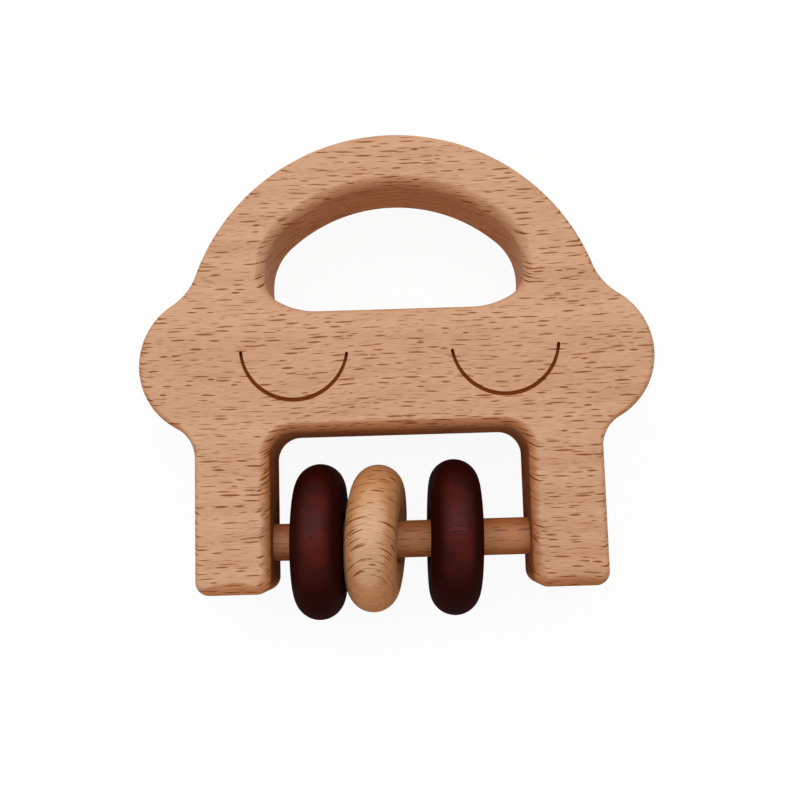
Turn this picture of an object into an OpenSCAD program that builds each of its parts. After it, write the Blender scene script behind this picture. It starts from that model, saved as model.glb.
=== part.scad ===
// Wooden teether rattle: a flat beech frame with a handle hole, a bar between its legs
// and three loose wooden rings on the bar.
// It lies on its back: X runs along the bar, Y towards the domed handle, Z up out of the face.
// The origin is under the middle of the whole rattle, level with the lowest point of the rings.

/* [Frame] */
// Thickness of the board
board_t = 18; // [15:0.5:22]
// Radius of the domed top
dome_r = 44; // [42:0.5:46]
// Radius of the round lobe at each side
lobe_r = 15; // [14:0.25:16]
// Distance of each lobe's centre from the middle plane
lobe_out = 38.25; // [37.5:0.25:39.5]
// Distance of the lobes' centres below the dome's centre
lobe_drop = 4; // [2:0.25:6]
// Radius of the hollow between the dome and a lobe
neck_r = 12.5; // [8:0.5:16]
// Radius of the hollow between a lobe and a leg
hip_r = 7; // [4:0.5:8]
// Distance over the outer sides of both legs
legs_w = 83.5; // [81:0.5:86]
// Width of each leg
leg_w = 15.25; // [13:0.25:15.75]
// Distance of the feet below the dome's centre
foot_drop = 51.25; // [49:0.25:54]
// Radius of the outer corners of the feet
foot_out_r = 2.75; // [2.5:0.25:5]
// Radius of the inner corners of the feet
foot_in_r = 3; // [2.5:0.25:5]
// Distance of the top of the gap between the legs below the dome's centre
gap_drop = 18.5; // [17:0.25:20]
// Radius of the upper corners of that gap
gap_r = 5; // [2:0.25:7]
// Radius of the rounded edges all round the board
edge_r = 2; // [1:0.05:2.25]

/* [Handle hole] */
// Width of the hole
hole_w = 54; // [51:0.5:56]
// Width of the handle over the top of the hole
handle_w = 11; // [9:0.25:11.5]
// Height of the hole's lower edge above the dome's centre
hole_base = 6.5; // [4:0.25:6.75]
// Radius of the arched top
hole_arch_r = 34.25; // [32:0.25:34.5]
// Radius between the arched top and the sides
hole_side_r = 12.25; // [8:0.25:12.5]
// Radius of the lower corners
hole_base_r = 8.25; // [4:0.25:8.5]

/* [Closed eyes] */
// Radius of each engraved arc
eye_r = 11; // [8:0.25:12]
// Sweep of each arc in degrees
eye_sweep = 166; // [120:2:176]
// Distance of each arc's centre from the middle between the two
eye_out = 21.75; // [19:0.25:23]
// Tilt of each arc in degrees, outer end up
eye_tilt = 2; // [-6:0.5:10]
// Sideways offset of the pair on the board
eye_shift = 0.75; // [-1:0.25:1]
// Distance of the arcs' centres below the dome's centre
eye_drop = 1; // [0:0.25:3]
// Width of the half-round engraved line
eye_line_w = 0.8; // [0.5:0.1:1.2]

/* [Bar] */
// Diameter of the bar
bar_d = 7.7; // [6:0.1:9]
// Height of the bar's axis above the feet
bar_rise = 10.25; // [8:0.25:12]
// Radial gap for glue in the legs
bar_fit = 0.05; // [0.02:0.01:0.15]
// Depth of the bar's ends below the outer sides of the legs
bar_recess = 0.2; // [0.1:0.1:1]

/* [Rings] */
// Outer diameter of the two dark rings
dark_ring_d = 32.4; // [31:0.1:33]
// Outer diameter of the pale ring
pale_ring_d = 30.7; // [30:0.1:33]
// Thickness of every ring along the bar
ring_t = 10.4; // [9:0.1:11.5]
// Radial play of the rings on the bar
ring_play = 0.8; // [0.6:0.1:1.2]
// Radius of the rounded edges of the rings' bores
bore_edge_r = 3; // [2:0.25:4]
// Place of the pale ring's middle along the bar
pale_ring_x = -5.25; // [-6:0.25:2]
// Gap between the left dark ring and the pale ring
left_gap = 1.3; // [0.3:0.05:3]
// Gap between the pale ring and the right dark ring
right_gap = 5.85; // [0.3:0.05:8]

/* [Hidden] */

beech = "burlywood";
pale_beech = "wheat";
dark_stain = [0.28, 0.07, 0.07];

// Largest distance between an arc of the outline and its chords
chord_error = 0.03;
// Steps round a full circle of the board's rounded edge, and of every turned piece
edge_steps = 16;
turned_steps = 96;
// Length by which a cut runs past a surface
over = 1;

leg_out = legs_w / 2;
leg_in = leg_out - leg_w;
hole_top = dome_r - handle_w;
bar_drop = foot_drop - bar_rise;
left_ring_x = pale_ring_x - ring_t - left_gap;
right_ring_x = pale_ring_x + ring_t + right_gap;
largest_ring_d = max(dark_ring_d, pale_ring_d);
lowest_y = -bar_drop - largest_ring_d / 2;
// From the dome's centre, in the middle of the board, to the origin
to_origin = [0, -(dome_r + lowest_y) / 2, largest_ring_d / 2];

// Direction of a vector in degrees
function angle_of(v) = atan2(v[1], v[0]);

// Points along an arc, both ends included
function arc(centre, r, from, to) =
    let (step = 2 * acos(1 - chord_error / r), count = ceil(abs(to - from) / step))
    [for (i = [0 : count])
        let (a = from + (to - from) * i / count)
        centre + r * [cos(a), sin(a)]];

// An arc that runs straight on into the next one, so its last point is left to that one
function arc_into(centre, r, from, to) =
    let (points = arc(centre, r, from, to))
    [for (i = [0 : len(points) - 2]) points[i]];

// A half outline that starts on the middle plane, and its mirror image
function both_halves(half) =
    concat(half, [for (i = [len(half) - 1 : -1 : 1]) [-half[i][0], half[i][1]]]);

// Centre of the circle of radius r that touches the dome and a lobe from outside, above the lobe
function neck_centre(lobe, r) =
    let (apart = norm(lobe),
        along = ((dome_r + r) ^ 2 - (lobe_r + r) ^ 2 + apart ^ 2) / (2 * apart),
        aside = sqrt((dome_r + r) ^ 2 - along ^ 2),
        towards = lobe / apart)
    along * towards + aside * [-towards[1], towards[0]];

// Outline of the board, drawn inwards by the inset, round the right half from the top of the dome
function board_points(inset) =
    let (lobe = [lobe_out, -lobe_drop],
        neck = neck_centre(lobe, neck_r),
        hip_x = leg_out + hip_r,
        hip = [hip_x, lobe[1] - sqrt((lobe_r + hip_r) ^ 2 - (hip_x - lobe_out) ^ 2)],
        neck_start = angle_of(neck),
        neck_end = angle_of(neck - lobe),
        hip_start = angle_of(hip - lobe))
    both_halves(concat(
        arc_into([0, 0], dome_r - inset, 90, neck_start),
        arc_into(neck, neck_r + inset, neck_start + 180, neck_end + 180),
        arc_into(lobe, lobe_r - inset, neck_end, hip_start),
        arc(hip, hip_r + inset, hip_start + 180, 180),
        arc([leg_out - foot_out_r, foot_out_r - foot_drop], foot_out_r - inset, 0, -90),
        arc([leg_in + foot_in_r, foot_in_r - foot_drop], foot_in_r - inset, -90, -180),
        arc([leg_in - gap_r, -gap_drop - gap_r], gap_r + inset, 0, 90)));

// Outline of the handle hole, drawn outwards by the inset
function hole_points(inset) =
    let (arch = [0, hole_top - hole_arch_r],
        side_x = hole_w / 2 - hole_side_r,
        side = [side_x, arch[1] + sqrt((hole_arch_r - hole_side_r) ^ 2 - side_x ^ 2)],
        arch_end = angle_of(side - arch),
        base = [hole_w / 2 - hole_base_r, hole_base + hole_base_r])
    both_halves(concat(
        arc_into(arch, hole_arch_r + inset, 90, arch_end),
        arc(side, hole_side_r + inset, arch_end, 0),
        arc(base, hole_base_r + inset, 0, -90)));

// One engraved arc, open at the top
module eye_line() {
    rotate_extrude(angle = eye_sweep, start = 270 - eye_sweep / 2, $fn = turned_steps)
        translate([eye_r, 0]) circle(d = eye_line_w, $fn = edge_steps);
}

// Round stock along the bar's axis
module along_bar(r, length) {
    translate([0, -bar_drop, 0]) rotate([0, 90, 0])
        cylinder(r = r, h = length, center = true, $fn = turned_steps);
}

// Section of a ring: round outside, straight in the bore, with large rounded edges between the two
module ring_section(outer_d) {
    bore_r = bar_d / 2 + ring_play;
    round_x = (outer_d - ring_t) / 2;
    edge_x = bore_r + bore_edge_r;
    edge_z = ring_t / 2 - bore_edge_r;
    difference() {
        union() {
            translate([round_x, 0]) circle(d = ring_t, $fn = turned_steps);
            if (round_x > edge_x) {
                translate([edge_x, -ring_t / 2]) square([round_x - edge_x, ring_t]);
            }
            translate([bore_r - over, -edge_z]) square([round_x - bore_r + over, 2 * edge_z]);
            for (side = [-1, 1]) {
                translate([edge_x, side * edge_z]) circle(r = bore_edge_r, $fn = turned_steps);
            }
        }
        translate([0, -ring_t]) square([bore_r, 2 * ring_t]);
    }
}

// Ring drilled for the bar
module ring(outer_d, x) {
    translate(to_origin + [x, -bar_drop, 0]) rotate([0, 90, 0])
        rotate_extrude($fn = turned_steps) ring_section(outer_d);
}

// The board with its handle hole, every edge rounded by a ball whose flats reach the edge radius
module board() {
    minkowski() {
        linear_extrude(board_t - 2 * edge_r, center = true) difference() {
            polygon(board_points(edge_r));
            polygon(hole_points(edge_r));
        }
        sphere(edge_r / cos(180 / edge_steps), $fn = edge_steps);
    }
}

// The board drilled through both legs and engraved with two closed eyes
module frame() {
    color(beech) translate(to_origin) difference() {
        board();
        along_bar(bar_d / 2 + bar_fit, legs_w + 2 * over);
        for (side = [-1, 1]) {
            translate([eye_shift + side * eye_out, -eye_drop, board_t / 2])
                rotate([0, 0, side * eye_tilt]) eye_line();
        }
    }
}

// Bar glued into both legs
module bar() {
    color(beech) translate(to_origin) along_bar(bar_d / 2, legs_w - 2 * bar_recess);
}

module ring_left() {
    color(dark_stain) ring(dark_ring_d, left_ring_x);
}

module ring_middle() {
    color(pale_beech) ring(pale_ring_d, pale_ring_x);
}

module ring_right() {
    color(dark_stain) ring(dark_ring_d, right_ring_x);
}

frame();
bar();
ring_left();
ring_middle();
ring_right();
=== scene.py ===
"""Looks of the wooden teether rattle: a rounded beech board with two engraved closed eyes,
a beech bar through its legs, and three turned rings loose on the bar.

Sizes are in millimetres, as in the part's source, and become metres when a mesh is made.
"""
import math
from collections import namedtuple

import bmesh
import bpy
from mathutils import Matrix, Vector, noise
from mathutils.geometry import delaunay_2d_cdt


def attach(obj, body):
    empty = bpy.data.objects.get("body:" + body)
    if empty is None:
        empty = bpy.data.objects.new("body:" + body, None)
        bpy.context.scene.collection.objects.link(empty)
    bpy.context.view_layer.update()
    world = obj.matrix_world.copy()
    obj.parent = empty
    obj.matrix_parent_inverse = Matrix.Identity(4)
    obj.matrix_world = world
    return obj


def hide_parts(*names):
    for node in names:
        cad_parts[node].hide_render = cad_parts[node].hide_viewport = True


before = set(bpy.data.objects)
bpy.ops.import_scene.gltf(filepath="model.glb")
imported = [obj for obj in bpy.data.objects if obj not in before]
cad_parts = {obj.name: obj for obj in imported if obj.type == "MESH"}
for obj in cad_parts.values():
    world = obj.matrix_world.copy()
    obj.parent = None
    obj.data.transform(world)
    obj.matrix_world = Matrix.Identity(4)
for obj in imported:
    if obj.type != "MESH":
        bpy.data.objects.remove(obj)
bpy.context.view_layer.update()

MM = 0.001
# From the dome's centre, in the middle of the board, to the origin
TO_ORIGIN = Vector((0, 6.6, 16.2))

# Board

BOARD_T = 18
# The dome and the lobes are drawn a hair inside the part's
DOME_R, LOBE_R, LOBE = 43.99, 14.99, Vector((38.25, -4))
NECK_R, HIP_R = 12.5, 7
LEG_OUT, LEG_IN = 41.75, 26.5
FOOT_DROP, FOOT_OUT_R, FOOT_IN_R = 51.25, 2.75, 3
GAP_DROP, GAP_R = 18.5, 5

HOLE_W, HOLE_TOP, HOLE_BASE = 54, 33, 6.5
HOLE_ARCH_R, HOLE_SIDE_R = 34.25, 12.25
# The lower corners turn tightly by this angle and then run out in a long slope
HOLE_CORNER_R, HOLE_CORNER_TURN, HOLE_SLOPE_R = 6, 60, 16

# How far the sanded edges reach over the face: round the outside, at the feet, in the gap and in the hole
OUTER_EDGE, FOOT_EDGE, GAP_EDGE, HOLE_EDGE = 0.9, 1.9, 1.9, 1.9
# Depth of an edge for its width, the most that an edge has on the back, and the most anywhere
EDGE_SLOPE, BACK_EDGE, WIDEST_EDGE = 1.2, 1.2, 3
# Steps over an edge, and the angles up from level that it faces beside the face and beside the wall
EDGE_STEPS, EDGE_FIRST, EDGE_LAST = 10, 62, 16
# The faces are filled up to a loop that lies this far inside their edges
FACE_MARGIN = 0.3
# Share of an edge's width by which hand sanding ripples it, on the body and down the gap
BODY_RIPPLE, GAP_RIPPLE = 0.08, 0.7
# Distance below the top of the gap at which the stronger ripple starts, and over which it grows
RIPPLE_START, RIPPLE_RISE = 2, 6
# The waves of the ripple: how many to a millimetre, and the weight of each
RIPPLE_WAVES = ((0.3, 0.4), (0.7, 0.6), (1.3, 0.4))
# Step in the noise that sets the back's ripple apart from the front's
RIPPLE_STEP = 9
# Share by which each foot is worn wider under its middle, the left one more
LEFT_WEAR, RIGHT_WEAR = 0.5, 0.2
# An edge keeps this much inside a foot's rounded corner, and narrows to that over a short way above it
CORNER_ROOM, CORNER_EASE = 0.4, 2
# How far oil and painted shade darken an edge that faces sideways, and one that faces the feet, away from
# the lamp;
# past 1 it darkens the wood a second time, painted shade on the walls of the gap beside the rings
OUTER_OIL_SHADE, GAP_OIL_SHADE, HOLE_OIL_SHADE = (0, 1), (1.8, 1), (0, 0.6)
# Power of the depth with which the oil and painted shade grow over an edge that faces the feet; on a side
# edge it is 1
FOOT_OIL_SHADE_POWER = 0.2

# Closed eyes

EYE_R, EYE_SWEEP, EYE_LINE_W, EYE_DEPTH = 11, 166, 0.8, 0.32
EYE_OUT, EYE_DROP, EYE_SHIFT, EYE_TILT = 21.75, 1, 0.75, 2
# Centre of each engraved arc, and its tilt with the outer end up
EYES = [(Vector((EYE_SHIFT + side * EYE_OUT, -EYE_DROP)), side * EYE_TILT) for side in (-1, 1)]
# Section of a line from the face to its floor, as shares: distance from its middle, depth and scorch
EYE_SECTION = ((1.5, 0, 0), (1.1, 0, 0.35), (0.96, 0.1, 0.85), (0.78, 0.5, 1), (0.5, 0.86, 1), (0.2, 1, 1))
# Share by which a line gets finer towards its ends
EYE_FINER = 0.3
# Scorch of a line, and the share of its half length over which it doubles towards the tip
EYE_SCORCH, EYE_TIP = 0.5, 0.1
# Steps along a line, and round each of its ends
EYE_STEPS, EYE_END_STEPS = 72, 8

# Bar and rings

BAR_R, BAR_FIT, BAR_RECESS, BAR_RISE = 3.85, 0.05, 0.2, 10.25
BAR_DROP = FOOT_DROP - BAR_RISE
# Radius of the bar's softened ends, and the lips of its bores on the outer and inner sides of the legs
BAR_SOFT_R, BORE_LIP_OUT, BORE_LIP_IN = 0.3, 0.12, 0.05
# Loops of the bar's mesh: their radii on its ends, and their places along its shaft
BAR_END_LOOPS, BAR_SHAFT_LOOPS = (0.8, 2.2), (-30, -15, 0, 15, 30)
RING_T, RING_PLAY, BORE_EDGE_R = 10.4, 0.8, 3
RING_BORE_R = BAR_R + RING_PLAY
# The dark rings are a hair smaller than the part's
DARK_RING_D, PALE_RING_D = 32.385, 30.7
PALE_RING_X, LEFT_GAP, RIGHT_GAP = -5.25, 1.3, 5.85
# Marks on the upper side of the dark rings, as places along the bar and from its axis to the handle:
# a crack in the right ring, the bare wood along it, and a nick in the left ring
CRACK, CRACK_LIP, NICK = (11.3, 1.5), (11.3, 1.8), (-17.5, 1.1)
# Steps round the bar and its bores, and round a ring
BAR_STEPS, RING_STEPS = 72, 128
# Steps over a quarter turn of the bar's softened ends, of a ring's rim and of the edges of its bore
BAR_SOFT_STEPS, RIM_STEPS, BORE_EDGE_STEPS = 4, 15, 10

# Edges that turn by more degrees than this stay sharp
SHARP_ANGLE = 40
# Places that are closer than this lie on the same line
CLOSE = 1e-5
# A point that is closer than this to the level of the feet lies under a foot
UNDER_FOOT = 0.01


# Meshes

# A point of an outline: its place, the way out of the wood, the width of the sanded edge and its oil and
# painted shade
Point = namedtuple("Point", "place out edge oil")
# The wood lies inside the circle of a round arc, and outside that of a hollow one
ROUND, HOLLOW = 1, -1


def limit(value):
    return min(1, max(0, value))


def between(low, high, share):
    """Value that runs from low to high with a share, also for a share in a finish."""
    return low + (high - low) * share


def turn(degrees):
    """Unit vector in the board's plane."""
    return Vector((math.cos(math.radians(degrees)), math.sin(math.radians(degrees))))


def quarter(steps, start=0):
    """Unit vectors over a quarter of a circle."""
    return [turn(start + 90 * i / steps) for i in range(steps + 1)]


def angle_of(v):
    return math.degrees(math.atan2(v[1], v[0]))


def arc(centre, r, start, end, form, edge, oil, last_edge=None, gap=0.5):
    """Points of a round or hollow arc, at most a gap apart.

    The width of its edge runs from edge to last_edge, where one is given.
    """
    last_edge = last_edge or edge
    count = max(3, math.ceil(abs(math.radians(end - start)) * r / gap))
    points = []
    for i in range(count + 1):
        share = i / count
        way = turn(between(start, end, share))
        points.append(Point(Vector(centre) + r * way, form * way, between(edge, last_edge, share), oil))
    return points


def mirrored(point):
    place, out = (Vector((-v.x, v.y)) for v in (point.place, point.out))
    return point._replace(place=place, out=out)


def closed_outline(half, gap=0.25):
    """A half outline that starts on the middle plane, its mirror image, and points along the straights."""
    whole = half + [mirrored(point) for point in half[:0:-1]]
    points = []
    for here, after in zip(whole, whole[1:] + whole[:1]):
        length = (after.place - here.place).length
        count = max(1, round(length / gap)) if length > 2 * gap else 1
        for i in range(count):
            share = i / count
            place = here.place.lerp(after.place, share)
            points.append(here._replace(place=place, edge=between(here.edge, after.edge, share)))
    return points


def board_outline():
    """Outline of the board round the right half from the top of the dome, then the left half."""
    apart = LOBE.length
    towards = LOBE / apart
    along = ((DOME_R + NECK_R) ** 2 - (LOBE_R + NECK_R) ** 2 + apart ** 2) / (2 * apart)
    aside = math.sqrt((DOME_R + NECK_R) ** 2 - along ** 2)
    neck = along * towards + aside * Vector((-towards.y, towards.x))
    hip_x = LEG_OUT + HIP_R
    hip = Vector((hip_x, LOBE.y - math.sqrt((LOBE_R + HIP_R) ** 2 - (hip_x - LOBE.x) ** 2)))
    neck_start, neck_end = angle_of(neck), angle_of(neck - LOBE)
    hip_start = angle_of(hip - LOBE)
    foot_out = (LEG_OUT - FOOT_OUT_R, FOOT_OUT_R - FOOT_DROP)
    foot_in = (LEG_IN + FOOT_IN_R, FOOT_IN_R - FOOT_DROP)
    gap_corner = (LEG_IN - GAP_R, -GAP_DROP - GAP_R)
    return closed_outline(
        arc((0, 0), DOME_R, 90, neck_start, ROUND, OUTER_EDGE, OUTER_OIL_SHADE)[:-1]
        + arc(neck, NECK_R, neck_start + 180, neck_end + 180, HOLLOW, OUTER_EDGE, OUTER_OIL_SHADE)[:-1]
        + arc(LOBE, LOBE_R, neck_end, hip_start, ROUND, OUTER_EDGE, OUTER_OIL_SHADE)[:-1]
        + arc(hip, HIP_R, hip_start + 180, 180, HOLLOW, OUTER_EDGE, OUTER_OIL_SHADE)
        + arc(foot_out, FOOT_OUT_R, 0, -90, ROUND, OUTER_EDGE, OUTER_OIL_SHADE, last_edge=FOOT_EDGE, gap=0.2)
        + arc(foot_in, FOOT_IN_R, -90, -180, ROUND, FOOT_EDGE, GAP_OIL_SHADE, last_edge=GAP_EDGE, gap=0.2)
        + arc(gap_corner, GAP_R, 0, 90, HOLLOW, GAP_EDGE, GAP_OIL_SHADE, gap=0.3))


def hole_outline():
    """Outline of the handle hole round the right half from the top of its arch, then the left half."""
    arch = Vector((0, HOLE_TOP - HOLE_ARCH_R))
    side_x = HOLE_W / 2 - HOLE_SIDE_R
    side = Vector((side_x, arch.y + math.sqrt((HOLE_ARCH_R - HOLE_SIDE_R) ** 2 - side_x ** 2)))
    arch_end = angle_of(side - arch)
    to_slope = (HOLE_SLOPE_R - HOLE_CORNER_R) * turn(180 - HOLE_CORNER_TURN)
    corner = Vector((HOLE_W / 2 - HOLE_CORNER_R, HOLE_BASE + HOLE_SLOPE_R - to_slope.y))
    slope = corner + to_slope
    corner_end = -HOLE_CORNER_TURN
    return closed_outline(
        arc(arch, HOLE_ARCH_R, 90, arch_end, HOLLOW, HOLE_EDGE, HOLE_OIL_SHADE)[:-1]
        + arc(side, HOLE_SIDE_R, arch_end, 0, HOLLOW, HOLE_EDGE, HOLE_OIL_SHADE)
        + arc(corner, HOLE_CORNER_R, 0, corner_end, HOLLOW, HOLE_EDGE, HOLE_OIL_SHADE,
              last_edge=OUTER_EDGE, gap=0.4)[:-1]
        + arc(slope, HOLE_SLOPE_R, corner_end, -90, HOLLOW, OUTER_EDGE, HOLE_OIL_SHADE, gap=0.4))


def loop(mesh, points):
    return [mesh.verts.new(p) for p in points]


def bar_loop(mesh, r, x, steps):
    """Loop round the bar's axis at a place along it."""
    ways = [turn(360 * i / steps) for i in range(steps)]
    return loop(mesh, [(x, r * way.x - BAR_DROP, r * way.y) for way in ways])


def strip(mesh, first, second, skip=()):
    """Closed band of faces between two loops of the same length."""
    count = len(first)
    for i in range(count):
        j = (i + 1) % count
        if i not in skip:
            mesh.faces.new((first[i], first[j], second[j], second[i]))


def fill(mesh, loops, flat):
    """Faces over the flat region inside the first loop and outside the others.

    flat gives a vertex's place in the plane of the region.
    """
    corners = [v for ring in loops for v in ring]
    places = [flat(v.co) for v in corners]
    edges, start = [], 0
    for ring in loops:
        edges += [(start + i, start + (i + 1) % len(ring)) for i in range(len(ring))]
        start += len(ring)
    sides = [(places[i], places[j]) for i, j in edges]
    inside_border, same_place, with_sources = 1, 1e-7, True
    found = delaunay_2d_cdt(places, edges, [], inside_border, same_place, with_sources)
    spots, faces, sources = found[0], found[2], found[3]
    for face in faces:
        middle = sum((spots[i] for i in face), Vector((0, 0))) / 3
        crossed = [a.x + (middle.y - a.y) / (b.y - a.y) * (b.x - a.x)
                   for a, b in sides if (a.y > middle.y) != (b.y > middle.y)]
        if sum(x > middle.x for x in crossed) % 2:
            mesh.faces.new([corners[sources[i][0]] for i in face])


def edge_profile():
    """Section of a sanded edge as shares of its width and depth, with a slight break at both ends."""
    first, last = turn(EDGE_FIRST), turn(EDGE_LAST)
    points = []
    for i in range(EDGE_STEPS + 1):
        way = turn(between(EDGE_FIRST, EDGE_LAST, i / EDGE_STEPS))
        points.append(((last.x - way.x) / (last.x - first.x), (first.y - way.y) / (first.y - last.y)))
    return points


def plain_width(point, side):
    """Width of an edge without ripple or wear on the front, side 1, or the back, side -1."""
    return point.edge if side > 0 else min(point.edge, BACK_EDGE)


def sanded_width(point, side):
    """Width of an edge where hand sanding has rippled it, differently on the front and the back."""
    x, y = point.place
    from_gap = limit((abs(x) - LEG_IN) / FOOT_IN_R)
    down_gap = (1 - from_gap) * limit((-GAP_DROP - RIPPLE_START - y) / RIPPLE_RISE)
    ripple = 0
    for often, weight in RIPPLE_WAVES:
        ripple += weight * noise.noise(Vector((often * x, often * y, RIPPLE_STEP * side + often)))
    width = plain_width(point, side) * (1 + between(BODY_RIPPLE, GAP_RIPPLE, down_gap) * ripple)
    if y < UNDER_FOOT - FOOT_DROP:
        if side > 0:
            across = (abs(x) - LEG_IN - FOOT_IN_R) / (LEG_OUT - LEG_IN - FOOT_IN_R - FOOT_OUT_R)
            wear = LEFT_WEAR if x < 0 else RIGHT_WEAR
            width *= 1 + wear * math.sin(math.pi * limit(across))
        return min(width, WIDEST_EDGE)
    near_foot = limit((FOOT_IN_R + CORNER_EASE - FOOT_DROP - y) / CORNER_EASE)
    return min(width, between(WIDEST_EDGE, min(FOOT_OUT_R, FOOT_IN_R) - CORNER_ROOM, near_foot))


def oil_and_shade_in(point, deep):
    """Oil and painted shade on an edge, at a share of its depth; none where it faces the handle, towards
    the lamp.
    """
    sideways, down = point.oil
    facing = point.out.y
    drawn = between(sideways, down, -facing) if facing < 0 else sideways * (1 - facing)
    return drawn * deep ** between(FOOT_OIL_SHADE_POWER, 1, limit(1 + facing))


def edge_loops(mesh, oil_and_shade, outline):
    """Loops from just inside the face, over the front edge, down the wall and over the back edge."""
    rise = [(FACE_MARGIN, 1, 0)] + [(0, wide, deep) for wide, deep in edge_profile()]
    loops = []
    for side, section in ((1, rise), (-1, rise[::-1])):
        widths = [sanded_width(point, side) for point in outline]
        depths = [EDGE_SLOPE * plain_width(point, side) for point in outline]
        for inside, wide, deep in section:
            ring = []
            for point, width, depth in zip(outline, widths, depths):
                place = point.place - point.out * (inside + wide * width)
                ring.append(mesh.verts.new((place.x, place.y, side * (BOARD_T / 2 - depth * deep))))
                ring[-1][oil_and_shade] = oil_and_shade_in(point, deep)
            loops.append(ring)
    return loops


def around_eye(centre, tilt, away, depth):
    """Points round an engraved line at a distance from its middle, finer towards its round ends."""
    half, lowest = EYE_SWEEP / 2, 270 + tilt
    line = [lowest + half * (2 * i / EYE_STEPS - 1) for i in range(EYE_STEPS + 1)]
    points = []
    for side in (1, -1):
        for a in line[::side]:
            fine = 1 - EYE_FINER * ((a - lowest) / half) ** 2
            points.append(centre + (EYE_R + side * away * fine) * turn(a))
        end = line[-1] if side > 0 else line[0] + 180
        for i in range(1, EYE_END_STEPS):
            way = turn(end + 180 * i / EYE_END_STEPS)
            points.append(centre + side * EYE_R * turn(end) + away * (1 - EYE_FINER) * way)
    return [(p.x, p.y, BOARD_T / 2 - depth) for p in points]


def eye_loops(mesh, burn, centre, tilt):
    """Engraved line of a closed eye from the face to its rounded floor; returns its loop in the face."""
    loops = []
    for away, depth, scorch in EYE_SECTION:
        ring = loop(mesh, around_eye(centre, tilt, away * EYE_LINE_W / 2, depth * EYE_DEPTH))
        for v in ring:
            reach = abs(angle_of(v.co.xy - centre) + 90 - tilt) / (EYE_SWEEP / 2)
            at_tip = max(0, reach - 1 + EYE_TIP) / EYE_TIP
            v[burn] = EYE_SCORCH * scorch * (1 + at_tip)
        loops.append(ring)
    for first, second in zip(loops, loops[1:]):
        strip(mesh, first, second)
    fill(mesh, [loops[-1]], lambda co: co.xy)
    return loops[0]


def leg_bores(mesh, oil_and_shade, outline, top, bottom):
    """Walls of both legs, bored for the bar; returns which faces of the board's wall they stand for."""
    taken = set()
    for side in (1, -1):
        mouths = []
        for x, inwards, lip in ((LEG_OUT, -1, BORE_LIP_OUT), (LEG_IN, 1, BORE_LIP_IN)):
            run = [i for i, point in enumerate(outline)
                   if abs(point.place.x - side * x) < CLOSE and point.place.y < CLOSE - GAP_DROP - GAP_R]
            taken.update(run[:-1])
            rounds = [bar_loop(mesh, BAR_R + BAR_FIT + wider, side * (x + inwards * deep), BAR_STEPS)
                      for wider, deep in ((lip, 0), (0, lip))]
            for v in rounds[0] + rounds[1]:
                v[oil_and_shade] = oil_and_shade_in(outline[run[0]], 1)
            plate = [top[i] for i in run] + [bottom[i] for i in reversed(run)]
            fill(mesh, [plate, rounds[0]], lambda co: co.yz)
            strip(mesh, *rounds)
            mouths.append(rounds[1])
        strip(mesh, *mouths)
    return taken


def finish_mesh(name, mesh):
    """Object of a mesh made in millimetres round the dome's centre, with its sharp edges marked."""
    bmesh.ops.recalc_face_normals(mesh, faces=mesh.faces)
    bmesh.ops.translate(mesh, verts=mesh.verts, vec=TO_ORIGIN)
    bmesh.ops.scale(mesh, verts=mesh.verts, vec=(MM, MM, MM))
    data = bpy.data.meshes.new(name)
    mesh.to_mesh(data)
    mesh.free()
    data.shade_smooth()
    data.set_sharp_from_angle(angle=math.radians(SHARP_ANGLE))
    piece = bpy.data.objects.new(name, data)
    bpy.context.scene.collection.objects.link(piece)
    even = piece.modifiers.new("even_faces", "WEIGHTED_NORMAL")
    even.keep_sharp = True
    return piece


def make_board():
    mesh = bmesh.new()
    for name in ("burn", "oil_and_shade"):
        mesh.verts.layers.float.new(name)
    burn, oil_and_shade = mesh.verts.layers.float["burn"], mesh.verts.layers.float["oil_and_shade"]
    outline, hole = board_outline(), hole_outline()
    body, rim = edge_loops(mesh, oil_and_shade, outline), edge_loops(mesh, oil_and_shade, hole)
    wall = len(body) // 2 - 1
    bored = leg_bores(mesh, oil_and_shade, outline, body[wall], body[wall + 1])
    for i, (first, second) in enumerate(zip(body, body[1:])):
        strip(mesh, first, second, bored if i == wall else ())
    for first, second in zip(rim, rim[1:]):
        strip(mesh, first, second)
    eyes = [eye_loops(mesh, burn, centre, tilt) for centre, tilt in EYES]
    fill(mesh, [body[0], rim[0]] + eyes, lambda co: co.xy)
    fill(mesh, [body[-1], rim[-1]], lambda co: co.xy)
    return finish_mesh("beech_board", mesh)


def lathe(mesh, section, steps, closed):
    """Turned solid round the bar's axis; a section is a row of (radius, place along the bar)."""
    rounds = [bar_loop(mesh, r, x, steps) for r, x in section]
    for first, second in zip(rounds, rounds[1:] + rounds[:1] if closed else rounds[1:]):
        strip(mesh, first, second)
    return rounds


def make_bar():
    mesh = bmesh.new()
    half, soft = LEG_OUT - BAR_RECESS, BAR_SOFT_R
    corner = [(BAR_R - soft + soft * way.y, half - soft + soft * way.x) for way in quarter(BAR_SOFT_STEPS)]
    end = [(r, half) for r in BAR_END_LOOPS] + corner
    section = [(r, -x) for r, x in end] + [(BAR_R, x) for x in BAR_SHAFT_LOOPS] + end[::-1]
    rounds = lathe(mesh, section, BAR_STEPS, closed=False)
    for ring in (rounds[0], rounds[-1]):
        mesh.faces.new(ring)
    return finish_mesh("beech_bar", mesh)


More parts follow.
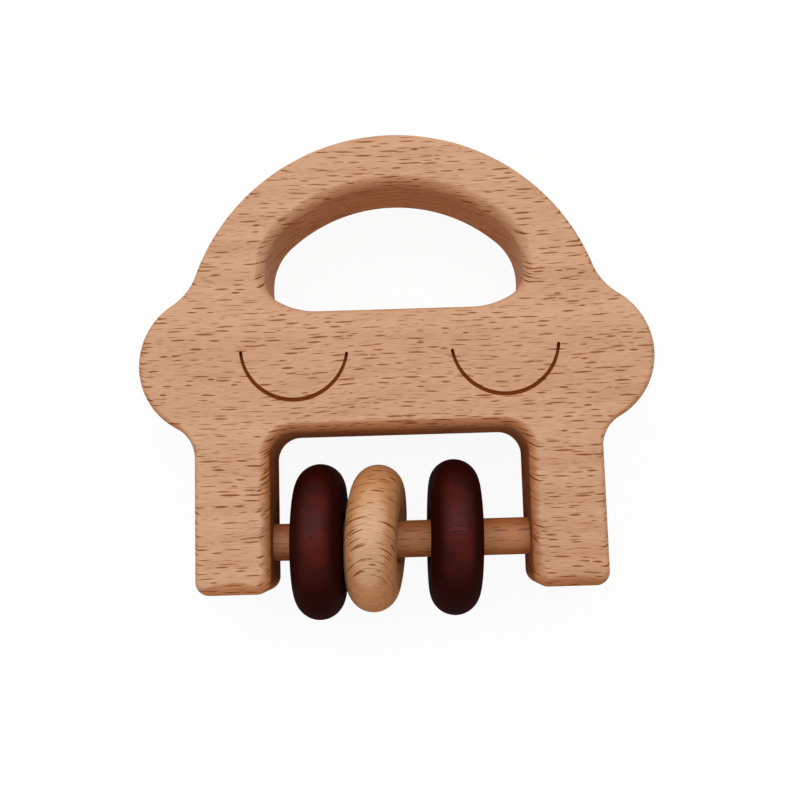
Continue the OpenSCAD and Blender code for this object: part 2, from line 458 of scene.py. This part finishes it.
def make_ring(name, outer_d, x, lift, yaw, lean):
    """A ring turned round outside and bored with well rounded edges.

    It lies a little askew in its play on the bar: lifted towards the handle, and turned by yaw about
    the board's height and by lean about the way out of its face, both in degrees.
    """
    mesh = bmesh.new()
    round_r = (outer_d - RING_T) / 2
    edge_r, edge_x = RING_BORE_R + BORE_EDGE_R, RING_T / 2 - BORE_EDGE_R
    half = [(round_r + RING_T / 2 * way.x, RING_T / 2 * way.y) for way in quarter(RIM_STEPS)]
    half += [(edge_r + BORE_EDGE_R * way.x, edge_x + BORE_EDGE_R * way.y)
             for way in quarter(BORE_EDGE_STEPS, start=90)]
    section = half + [(r, -along) for r, along in half[:0:-1]]
    lathe(mesh, section, RING_STEPS, closed=True)
    centre = Vector((0, -BAR_DROP, 0))
    askew = Matrix.Rotation(math.radians(yaw), 3, "Y") @ Matrix.Rotation(math.radians(lean), 3, "Z")
    bmesh.ops.rotate(mesh, verts=mesh.verts, cent=centre, matrix=askew)
    bmesh.ops.translate(mesh, verts=mesh.verts, vec=(x, lift, 0))
    return finish_mesh(name, mesh)


# Finishes

def shade(red, green, blue):
    """A colour as seen on a screen, 0 to 255, as the shader takes it."""
    values = [c / 255 for c in (red, green, blue)]
    return tuple(c / 12.92 if c < 0.04045 else ((c + 0.055) / 1.055) ** 2.4 for c in values) + (1,)


class Wire:
    """A value in a finish; sums on it add Math nodes."""

    def __init__(self, finish, socket):
        self.finish = finish
        self.socket = socket

    def math(self, operation, *values):
        return self.finish.node("Math", {"operation": operation}, dict(enumerate(values)))

    def __add__(self, other):
        return self.math("ADD", self, other)

    def __sub__(self, other):
        return self.math("SUBTRACT", self, other)

    def __rsub__(self, other):
        return self.math("SUBTRACT", other, self)

    def __mul__(self, other):
        return self.math("MULTIPLY", self, other)

    def __truediv__(self, other):
        return self.math("DIVIDE", self, other)

    def __abs__(self):
        return self.math("ABSOLUTE", self)

    __radd__ = __add__
    __rmul__ = __mul__

    def out(self, name):
        """Another output of the node that this value comes from."""
        return Wire(self.finish, self.socket.node.outputs[name])


class Finish:
    """A material, or the world, that is put together from nodes."""

    def __init__(self, owner):
        owner.use_nodes = True
        self.owner = owner
        self.tree = owner.node_tree
        self.tree.nodes.clear()

    def node(self, kind, settings=None, values=None, output=0):
        made = self.tree.nodes.new("ShaderNode" + kind)
        for name, value in (settings or {}).items():
            setattr(made, name, value)
        for name, value in (values or {}).items():
            if isinstance(value, Wire):
                self.tree.links.new(value.socket, made.inputs[name])
            else:
                made.inputs[name].default_value = value
        return Wire(self, made.outputs[output]) if made.outputs else None

    def place_on_object(self):
        return self.node("TexCoord", output="Object")

    def painted(self, layer):
        """A value that the points of a mesh carry."""
        return self.node("Attribute", {"attribute_name": layer}, output="Fac")

    def parts(self, vector):
        """The three numbers of a vector."""
        first = self.node("SeparateXYZ", {}, {0: vector})
        return first, first.out("Y"), first.out("Z")

    def scaled(self, vector, scale, shift=(0, 0, 0)):
        return self.node("VectorMath", {"operation": "MULTIPLY_ADD"}, {0: vector, 1: scale, 2: shift})

    def ramp(self, value, low, high):
        """0 below low, 1 above high and a smooth rise between the two."""
        return self.node("MapRange", {"interpolation_type": "SMOOTHSTEP"},
                         {"Value": value, "From Min": low, "From Max": high})

    def noise(self, vector, detail=2):
        """Noise about 0, from -0.5 to 0.5."""
        return self.node("TexNoise", {}, {"Vector": vector, "Scale": 1, "Detail": detail}) - 0.5

    def mix(self, share, one, other, blend="MIX"):
        return self.node("Mix", {"data_type": "RGBA", "blend_type": blend}, {0: share, 6: one, 7: other}, 2)

    def surface(self, **values):
        """Ends the material in one shader with these sockets, their names written with underscores."""
        sockets = {name.replace("_", " "): value for name, value in values.items()}
        self.end(self.node("BsdfPrincipled", {}, sockets))

    def end(self, shader, kind="Material"):
        self.node("Output" + kind, {}, {"Surface": shader})


class Wood(Finish):
    """Beech with its grain along the bar.

    Its rays are thin plates that lean as they go down into the wood, sweep slowly and waver quickly.
    place is where a point lies in the tree, in millimetres.
    """

    def __init__(self, name, shift, lean, sweep=2.6, waver=0.25):
        super().__init__(bpy.data.materials.new(name))
        on_object = self.place_on_object()
        self.normal = on_object.out("Normal")
        self.place = self.scaled(on_object, (1 / MM, 1 / MM, 1 / MM), shift)
        x, y, z = self.parts(self.place)
        slow = self.noise(self.scaled(self.place, (0.03, 0.05, 0.06)), detail=1)
        quick = self.noise(self.scaled(self.place, (0.16, 0.3, 0.25)), detail=1)
        leaning = y + lean * z + sweep * slow + waver * quick
        self.wavy = self.node("CombineXYZ", {}, {0: x, 1: leaning, 2: z})

    def rays(self, cell, reach, thick, soft, shift=(0, 0, 0)):
        """Dark spindles where the rays meet the surface, one to a cell; sizes in millimetres."""
        spread = self.scaled(self.wavy, tuple(1 / c for c in cell), shift)
        near = self.node("TexVoronoi", {}, {"Vector": spread, "Scale": 1, "Randomness": 1}, "Position")
        away = self.node("VectorMath", {"operation": "SUBTRACT"}, {0: spread, 1: near})
        along, across, deep = self.parts(away)
        first, second, third = self.parts(near.out("Color"))
        length = reach / cell[0] * between(0.35, 1.1, first)
        depth = between(0.55, 0.9, third)
        width = thick * between(0.6, 1.2, second)
        strength = between(0.4, 1, second)
        along, deep = along / length, deep / depth
        belly = 1 - along * along - deep * deep
        return self.ramp(belly * width - abs(across) * cell[1], 0, soft) * strength

    def mark(self, place, middle, reach, thick, bend=0):
        """A spindle on the upper side of a ring; places are from the bar's axis, in millimetres."""
        x, y, z = place
        along = (x - middle[0]) / reach
        across = abs(y - (middle[1] + bend)) / thick
        upper_side = self.ramp(z, 6, 8)
        return self.ramp(1 - along * along - across, 0, 0.5) * upper_side

    def fibres(self, cell):
        return self.noise(self.scaled(self.wavy, tuple(1 / c for c in cell)))

    def growth(self, period, tree_r, late=0.8):
        """Yearly layers of a tree whose heart is below the board; each darkens up to a late share."""
        y, z = self.parts(self.place)[1:]
        level = z + y * y / (2 * tree_r)
        layer = self.node("Math", {"operation": "FRACT"}, {0: level / period})
        return self.ramp(layer, 0, late) * self.ramp(1 - layer, 0, 1 - late)

    def bumps(self, height, strength, distance):
        return self.node("Bump", {}, {"Strength": strength, "Distance": distance * MM, "Height": height})


def beech_finish(name, shift, lean, face, dash, edge, flecks, burnt=None):
    """Waxed beech with short dark ray dashes and fine fibres, duller on its rounded parts and darker there
    with oil and painted shade.

    burnt is for the board, whose points carry their oil, painted shade and scorch: the colours of a
    scorched line and of its tips.
    """
    wood = Wood(name, shift, lean)
    bold = wood.rays(cell=(4.8, 1, 11), reach=2.6, thick=0.22, soft=0.1)
    faint = wood.rays(cell=(3.3, 0.7, 8), reach=1.5, thick=0.13, soft=0.12, shift=(3.3, 5.1, 2.7))
    fibres = wood.fibres((2.4, 0.18, 0.5))
    clouds = wood.fibres((22, 3.4, 5))
    growth = wood.growth(period=2.6, tree_r=70)
    ny, nz = wood.parts(wood.normal)[1:]
    facing = abs(nz)
    rounded = 1 - wood.ramp(facing, 0.6, 0.98)
    edge_break = (1 - wood.ramp(facing, 0.93, 0.99)) * wood.ramp(facing, 0.3, 0.6)
    # A ray that lies almost flat in the surface is left faint, so that it makes no round blot
    flat_on = wood.ramp(abs(ny + lean * nz) / math.hypot(1, lean), 0.72, 0.95)
    marks = (bold + 0.5 * faint) * (1 - 0.9 * flat_on)
    # The dashes show less on the walls and most along the break of an edge
    marks = marks * (between(0.6, 1, wood.ramp(facing, 0.05, 0.4)) + 0.4 * edge_break)
    dark = flecks * marks + 0.12 * growth - 0.4 * clouds - 0.7 * fibres
    if burnt:
        # Painted shade: the board gets darker towards its right foot, away from the lamp
        x, y = wood.parts(wood.place)[:2]
        dark = dark + 0.16 * wood.ramp(0.6 * x - y, 20, 70)
    colour = wood.mix(wood.ramp(dark, -0.35, 1.1), face, dash)
    # Oil and painted shade: the board's points carry theirs, and a turned piece gets painted shade on its
    # sides, which turn away from the overhead lamp
    oil_and_shade_share = wood.painted("oil_and_shade") if burnt else rounded
    # A second darkening past 1: painted shade on the walls of the gap, where the rings crowd it
    gap_shade_tint = shade(190, 176, 168)
    colour = wood.mix(wood.ramp(oil_and_shade_share, 0, 1), colour, edge, "MULTIPLY")
    colour = wood.mix(wood.ramp(oil_and_shade_share, 1, 2), colour, gap_shade_tint, "MULTIPLY")
    wax = 0.5 * (1 - rounded)
    if burnt:
        line_colour, tip_colour = burnt
        burn = wood.painted("burn")
        wax = wax * (1 - wood.ramp(burn, 0, 0.4))
        line = wood.mix(0.5 * bold, line_colour, tip_colour)
        line = wood.mix(wood.ramp(burn, EYE_SCORCH, 1), line, tip_colour)
        colour = wood.mix(wood.ramp(burn, 0, EYE_SCORCH), colour, line)
    bump = wood.bumps(fibres * 0.35 - marks, strength=0.5, distance=0.08)
    wood.surface(Base_Color=colour, Roughness=0.6 + 0.3 * fibres, Specular_IOR_Level=0, Normal=bump,
                 Coat_Weight=wax, Coat_Roughness=0.5)
    return wood.owner


def stain_finish(name, shift, lean, deep, worn_and_lit, bare):
    """Beech under a near black mahogany stain and a satin varnish, redder on the rim's crown, partly where
    it is handled and partly painted light towards the lamp.
    """
    wood = Wood(name, shift, lean)
    ray, split = shade(18, 3, 2), shade(12, 2, 2)
    bold = wood.rays(cell=(4.2, 1.25, 11), reach=1.9, thick=0.2, soft=0.2)
    fibres = wood.fibres((5, 0.16, 0.4))
    clouds = wood.fibres((6, 5, 6))
    to_axis = Vector((0, BAR_DROP, 0)) - TO_ORIGIN
    place = wood.parts(wood.scaled(wood.place_on_object(), (1 / MM, 1 / MM, 1 / MM), to_axis))
    y, z = place[1:]
    from_axis = wood.node("Math", {"operation": "SQRT"}, {0: y * y + z * z})
    # The rim's crown, partly handled wear and partly painted light that leans to the handle's side, where
    # the lamp is, on the upper and lower sides of a ring
    worn_lit_crown = wood.ramp(from_axis, 14.6, 16.3) * wood.ramp(abs(0.2 * y + 0.98 * z) / from_axis, 0.6, 1)
    colour = wood.mix(worn_lit_crown * wood.ramp(clouds + 0.4 * fibres, -0.3, 0.35), deep, worn_and_lit)
    colour = wood.mix(0.6 * bold, colour, ray)
    crack = wood.mark(place, CRACK, reach=2, thick=0.16, bend=0.25 * clouds)
    lip = wood.mark(place, CRACK_LIP, reach=2.4, thick=0.7)
    nick = wood.mark(place, NICK, reach=0.35, thick=0.26)
    colour = wood.mix(0.45 * lip, colour, bare)
    colour = wood.mix(crack + nick, colour, split)
    height = 0.3 * fibres - 0.3 * bold - 1.2 * crack - 2 * nick
    wood.surface(Base_Color=colour, Roughness=0.6, Specular_IOR_Level=0,
                 Normal=wood.bumps(height, strength=0.4, distance=0.1),
                 Coat_Weight=between(0.04, 0.2, worn_lit_crown), Coat_Roughness=0.42)
    return wood.owner


# Pieces

board = make_board()
bar = make_bar()
left_ring = make_ring("dark_ring_left", DARK_RING_D, PALE_RING_X - RING_T - LEFT_GAP,
                      lift=0, yaw=-0.7, lean=-1)
pale_ring = make_ring("pale_ring", PALE_RING_D, PALE_RING_X, lift=0.4, yaw=-5.7, lean=-4.1)
right_ring = make_ring("dark_ring_right", DARK_RING_D, PALE_RING_X + RING_T + RIGHT_GAP,
                       lift=0.25, yaw=2, lean=-1.3)

# edge is the colour of oil and painted shade on an edge; on the bar and the pale ring it is painted shade
# on their sides, which turn away from the overhead lamp
beech = beech_finish(
    "waxed_beech", shift=(0, 0, 0), lean=0.7, face=shade(219, 170, 134), dash=shade(138, 75, 16),
    edge=shade(249, 214, 186), flecks=0.95, burnt=(shade(118, 56, 22), shade(58, 20, 7)))
dowel = beech_finish(
    "dowel_beech", shift=(40, 17, 9), lean=0.3, face=shade(196, 131, 86), dash=shade(126, 66, 36),
    edge=shade(245, 225, 208), flecks=0.45)
pale = beech_finish(
    "pale_beech", shift=(11, 57, 30), lean=-0.6, face=shade(224, 178, 138), dash=shade(140, 84, 34),
    edge=shade(241, 216, 192), flecks=0.85)
stain = stain_finish(
    "dark_stain", shift=(0, 23, 61), lean=0.2, deep=shade(41, 9, 5), worn_and_lit=shade(88, 20, 11),
    bare=shade(108, 33, 17))

for piece, finish, body, node, slot in (
        (board, beech, "rattle", "frame", "beech_board"),
        (bar, dowel, "rattle", "bar", "beech_bar"),
        (left_ring, stain, "left_ring", "ring_left", "dark_stain"),
        (pale_ring, pale, "middle_ring", "ring_middle", "pale_beech"),
        (right_ring, stain, "right_ring", "ring_right", "dark_stain")):
    piece.data.materials.append(finish)
    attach(piece, body)
    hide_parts(node)


# Floor, light and camera, with the lamp and the floor in metres

WHITE, PLAIN_GREY = (1, 1, 1, 1), (0.85, 0.85, 0.85, 1)
# Half the floor's side, and its distance below the rings
FLOOR_HALF, FLOOR_DROP = 3, 0.0001
# Share of plain white in the paper near the rattle, which leaves a faint shadow there,
# and the distances between which it grows to 1
PAPER_WHITE, SHADOW_END, PAPER_END = 0.93, 0.12, 0.5
# Strength of the world's light on the rattle
WORLD_LIGHT = 0.45


def place_camera(aim, distance, elevation, azimuth, roll, lens):
    """Camera that looks at a point of the board's middle plane, given with its distance in millimetres."""
    up_angle, round_angle, roll = (math.radians(a) for a in (elevation, azimuth, roll))
    back = Vector((math.cos(up_angle) * math.sin(round_angle), -math.cos(up_angle) * math.cos(round_angle),
                   math.sin(up_angle)))
    level = Vector((math.cos(round_angle), math.sin(round_angle), 0))
    right = math.cos(roll) * level + math.sin(roll) * back.cross(level)
    up = back.cross(right)
    data = bpy.data.cameras.new("photo_camera")
    data.sensor_width = 36
    data.lens = lens
    data.clip_start = 0.01
    camera = bpy.data.objects.new("photo_camera", data)
    bpy.context.scene.collection.objects.link(camera)
    camera.matrix_world = Matrix.Translation((Vector(aim) + distance * back) * MM) @ Matrix(
        (right, up, back)).transposed().to_4x4()
    bpy.context.scene.camera = camera


def soft_lamp(name, place, aim, wide, deep, watts):
    data = bpy.data.lights.new(name, "AREA")
    data.shape = "RECTANGLE"
    data.size, data.size_y = wide, deep
    data.energy = watts
    lamp = bpy.data.objects.new(name, data)
    bpy.context.scene.collection.objects.link(lamp)
    towards = Vector(aim) - Vector(place)
    lamp.matrix_world = Matrix.Translation(place) @ towards.to_track_quat("-Z", "Y").to_matrix().to_4x4()


def seen_directly(finish):
    """1 for the camera and for what is mirrored or seen through, 0 for light that is scattered on."""
    path = finish.node("LightPath", output="Is Camera Ray")
    return path + path.out("Is Glossy Ray") + path.out("Is Transmission Ray")


def make_floor():
    mesh = bmesh.new()
    bmesh.ops.create_grid(mesh, x_segments=1, y_segments=1, size=FLOOR_HALF)
    data = bpy.data.meshes.new("floor")
    mesh.to_mesh(data)
    mesh.free()
    floor = bpy.data.objects.new("floor", data)
    floor.location.z = -FLOOR_DROP
    bpy.context.scene.collection.objects.link(floor)
    paper = Finish(bpy.data.materials.new("white_paper"))
    shadow = paper.node("BsdfDiffuse", {}, {"Color": WHITE})
    white = paper.node("Emission", {}, {"Color": WHITE, "Strength": 1})
    far = paper.node("VectorMath", {"operation": "LENGTH"}, {0: paper.place_on_object()}, "Value")
    whiteness = between(PAPER_WHITE, 1, paper.ramp(far, SHADOW_END, PAPER_END))
    lifted = paper.node("MixShader", {}, {0: whiteness, 1: shadow, 2: white})
    plain = paper.node("BsdfDiffuse", {}, {"Color": PLAIN_GREY})
    paper.end(paper.node("MixShader", {}, {0: seen_directly(paper), 1: plain, 2: lifted}))
    data.materials.append(paper.owner)


def make_world():
    studio = Finish(bpy.data.worlds.new("studio"))
    bpy.context.scene.world = studio.owner
    dim = studio.node("Background", {}, {"Color": WHITE, "Strength": WORLD_LIGHT})
    white = studio.node("Background", {}, {"Color": WHITE, "Strength": 1})
    studio.end(studio.node("MixShader", {}, {0: seen_directly(studio), 1: dim, 2: white}), "World")


place_camera(aim=(0.49, -5.03, 16.2), distance=217.6, elevation=83.18, azimuth=4.57, roll=-6.23, lens=45.92)
make_floor()
make_world()
soft_lamp("overhead_softbox", place=(-0.3, 0.65, 1.55), aim=(-0.3, 0, 0.02), wide=3.2, deep=1.2, watts=25)
bpy.context.scene.view_settings.view_transform = "Standard"
